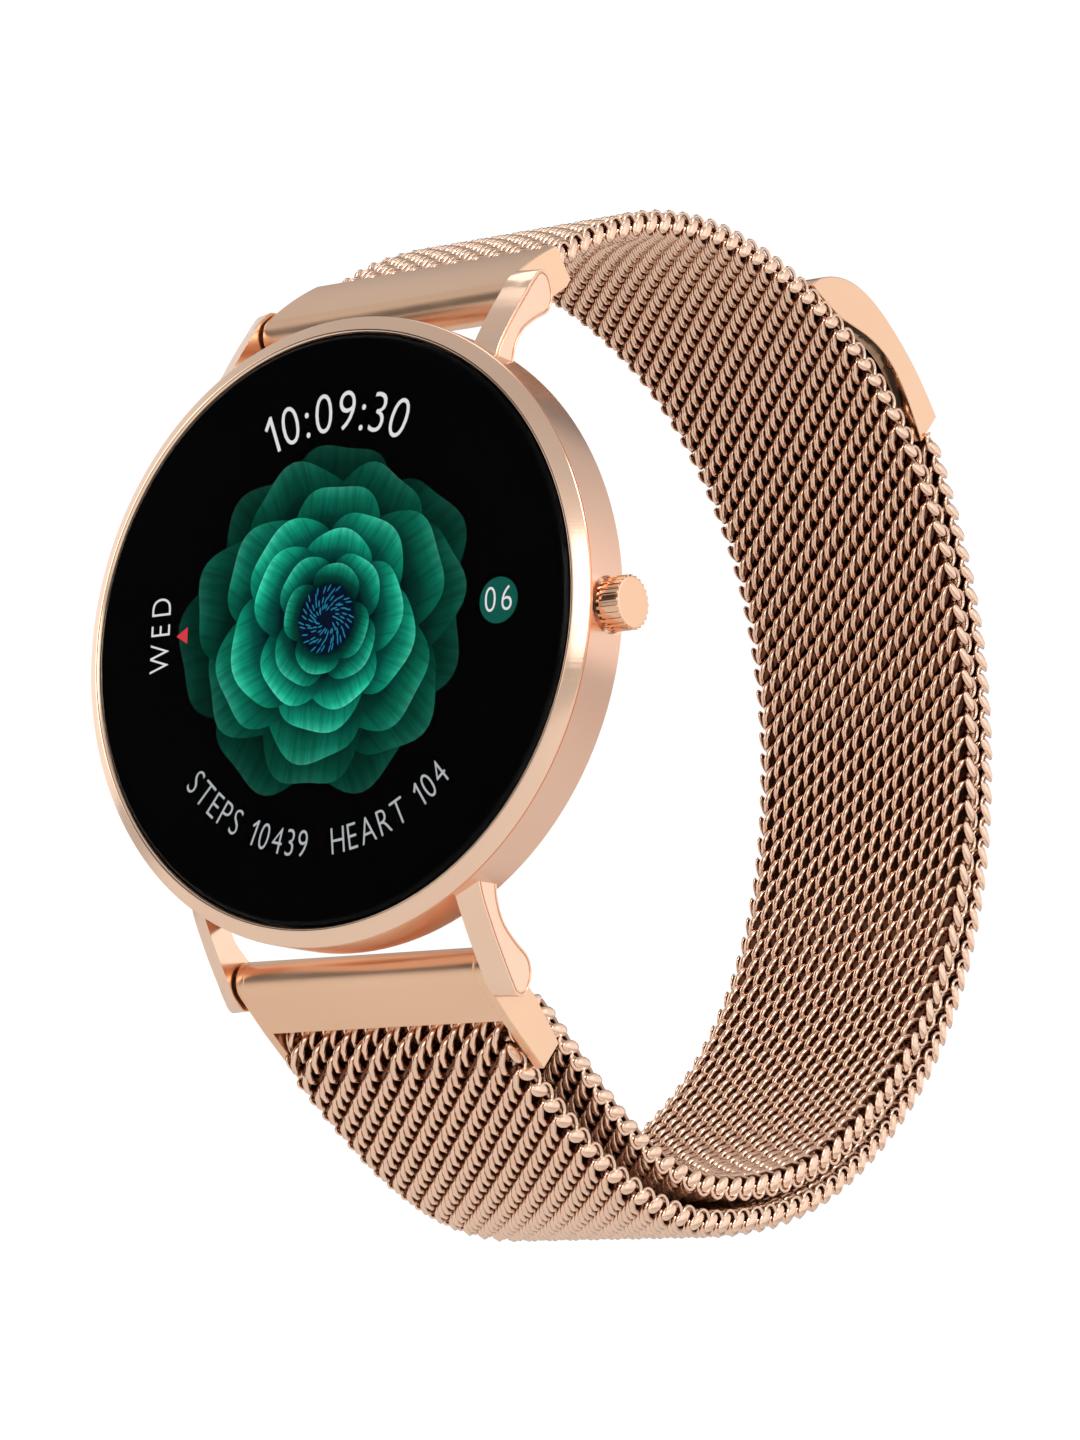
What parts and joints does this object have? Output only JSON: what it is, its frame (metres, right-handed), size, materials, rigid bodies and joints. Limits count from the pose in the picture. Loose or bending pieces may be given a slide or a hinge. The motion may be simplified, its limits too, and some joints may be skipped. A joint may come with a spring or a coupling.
{
  "type": "smartwatch",
  "caption": "Round smartwatch with a domed-back case, a side crown and a woven steel loop band closed by a magnetic clasp.",
  "frame": {"origin": "centre of the flat sensor window on the case back, where it rests on the wrist", "axes": "+X towards the crown at three o'clock, +Y out of the case back towards the wrist, +Z towards twelve o'clock"},
  "size_m": [0.0433, 0.0683, 0.0706],
  "materials": {
    "rose_gold": "polished rose-gold plating on steel",
    "rose_mesh": "woven rose-gold steel wire, burnished",
    "steel": "fine brushed stainless steel",
    "cover_glass": "polished hardened glass",
    "display": "black display panel with a lit watch face",
    "rubber": "matte black elastomer",
    "polymer": "matte black moulded polymer",
    "board": "green solder mask",
    "cell_wrap": "dark foil pouch",
    "contact_gold": "gold-plated contact",
    "sensor_light": "clear lens over a green light"
  },
  "bodies": {
    "case": {"mid_case": "rose_gold", "bezel_ring": "rose_gold", "cover_glass": "cover_glass", "glass_gasket": "rubber", "display_panel": "display", "case_back": "steel", "back_gasket": "rubber", "back_screw_1": "steel", "back_screw_2": "steel", "back_screw_3": "steel", "back_screw_4": "steel", "charge_contact_1": "contact_gold", "charge_contact_2": "contact_gold", "sensor_window": "cover_glass", "inner_chassis": "polymer", "main_board": "board", "battery": "cell_wrap", "vibration_motor": "steel", "crown_switch": "polymer", "sensor_board": "board", "sensor_light_upper": "sensor_light", "sensor_light_lower": "sensor_light", "photodiode": "polymer", "crown_tube": "steel", "crown_spring": "steel", "lug_upper_left": "rose_gold", "lug_upper_right": "rose_gold", "lug_lower_left": "rose_gold", "lug_lower_right": "rose_gold", "upper_bar_tube": "steel", "lower_bar_tube": "steel"},
    "crown_slider": {"crown_collar": "steel"},
    "crown": {"crown_knob": "rose_gold", "crown_stem": "steel", "crown_seal": "rubber"},
    "upper_pin_left_body": {"upper_pin_left": "steel"},
    "upper_pin_right_body": {"upper_pin_right": "steel"},
    "lower_pin_left_body": {"lower_pin_left": "steel"},
    "lower_pin_right_body": {"lower_pin_right": "steel"},
    "upper_end": {"upper_end_piece": "rose_gold", "mesh_inner_1": "rose_mesh"},
    "band_back": {"mesh_inner_2": "rose_mesh", "mesh_inner_3": "rose_mesh", "mesh_inner_4": "rose_mesh", "mesh_inner_5": "rose_mesh", "mesh_inner_6": "rose_mesh", "mesh_outer_1": "rose_mesh", "mesh_outer_2": "rose_mesh"},
    "band_low": {"mesh_inner_7": "rose_mesh", "mesh_inner_8": "rose_mesh", "mesh_outer_3": "rose_mesh", "mesh_outer_4": "rose_mesh", "mesh_fold": "rose_mesh", "lower_ring": "rose_gold"},
    "tail_1": {"mesh_tail_1": "rose_mesh"},
    "tail_2": {"mesh_tail_2": "rose_mesh"},
    "tail_3": {"mesh_tail_3": "rose_mesh"},
    "clasp": {"clasp_plate": "rose_gold", "clasp_magnet": "steel", "clasp_pad": "rubber"}
  },
  "joints": [
    {"name": "crown_press", "type": "slide", "parent": "case", "child": "crown_slider", "axis": [-1, 0, 0], "range_m": [0, 0.0004], "stiffness_N_per_m": 1500, "springref_m": -0.0003},
    {"name": "crown_turn", "type": "hinge", "parent": "crown_slider", "child": "crown", "pos_m": [0.0215, -0.00725, 0], "axis": [1, 0, 0], "continuous": true},
    {"name": "upper_pin_left_slide", "type": "slide", "parent": "case", "child": "upper_pin_left_body", "axis": [1, 0, 0], "range_m": [0, 0.00095], "stiffness_N_per_m": 1200, "springref_m": -0.0005},
    {"name": "upper_pin_right_slide", "type": "slide", "parent": "case", "child": "upper_pin_right_body", "axis": [-1, 0, 0], "range_m": [0, 0.00095], "stiffness_N_per_m": 1200, "springref_m": -0.0005},
    {"name": "lower_pin_left_slide", "type": "slide", "parent": "case", "child": "lower_pin_left_body", "axis": [1, 0, 0], "range_m": [0, 0.00095], "stiffness_N_per_m": 1200, "springref_m": -0.0005},
    {"name": "lower_pin_right_slide", "type": "slide", "parent": "case", "child": "lower_pin_right_body", "axis": [-1, 0, 0], "range_m": [0, 0.00095], "stiffness_N_per_m": 1200, "springref_m": -0.0005},
    {"name": "upper_end_pivot", "type": "hinge", "parent": "case", "child": "upper_end", "pos_m": [0, -0.004, 0.022], "axis": [1, 0, 0], "range_deg": [-6, 6]},
    {"name": "band_flex_upper", "type": "hinge", "parent": "upper_end", "child": "band_back", "pos_m": [0, 0.01586, 0.03206], "axis": [1, 0, 0], "range_deg": [-5, 5]},
    {"name": "band_flex_lower", "type": "hinge", "parent": "band_back", "child": "band_low", "pos_m": [0, 0.04865, -0.02018], "axis": [1, 0, 0], "range_deg": [-1.92, 1.92]},
    {"name": "clasp_peel_1", "type": "hinge", "parent": "band_back", "child": "tail_1", "pos_m": [0, 0.05614, 0.00895], "axis": [-1, 0, 0], "range_deg": [0, 18]},
    {"name": "clasp_peel_2", "type": "hinge", "parent": "tail_1", "child": "tail_2", "pos_m": [0, 0.0544, 0.01403], "axis": [-1, 0, 0], "range_deg": [0, 18]},
    {"name": "clasp_peel_3", "type": "hinge", "parent": "tail_2", "child": "tail_3", "pos_m": [0, 0.05183, 0.01903], "axis": [-1, 0, 0], "range_deg": [0, 18]},
    {"name": "clasp_peel_4", "type": "hinge", "parent": "tail_3", "child": "clasp", "pos_m": [0, 0.0487, 0.02393], "axis": [-1, 0, 0], "range_deg": [0, 18]}
  ],
  "couplings": [
    {"joint": "band_flex_upper", "follows": "upper_end_pivot", "ratio": -0.8244},
    {"joint": "band_flex_lower", "follows": "upper_end_pivot", "ratio": 0.31099},
    {"joint": "clasp_peel_2", "follows": "clasp_peel_1", "ratio": 1},
    {"joint": "clasp_peel_3", "follows": "clasp_peel_1", "ratio": 1},
    {"joint": "clasp_peel_4", "follows": "clasp_peel_1", "ratio": 1}
  ]
}
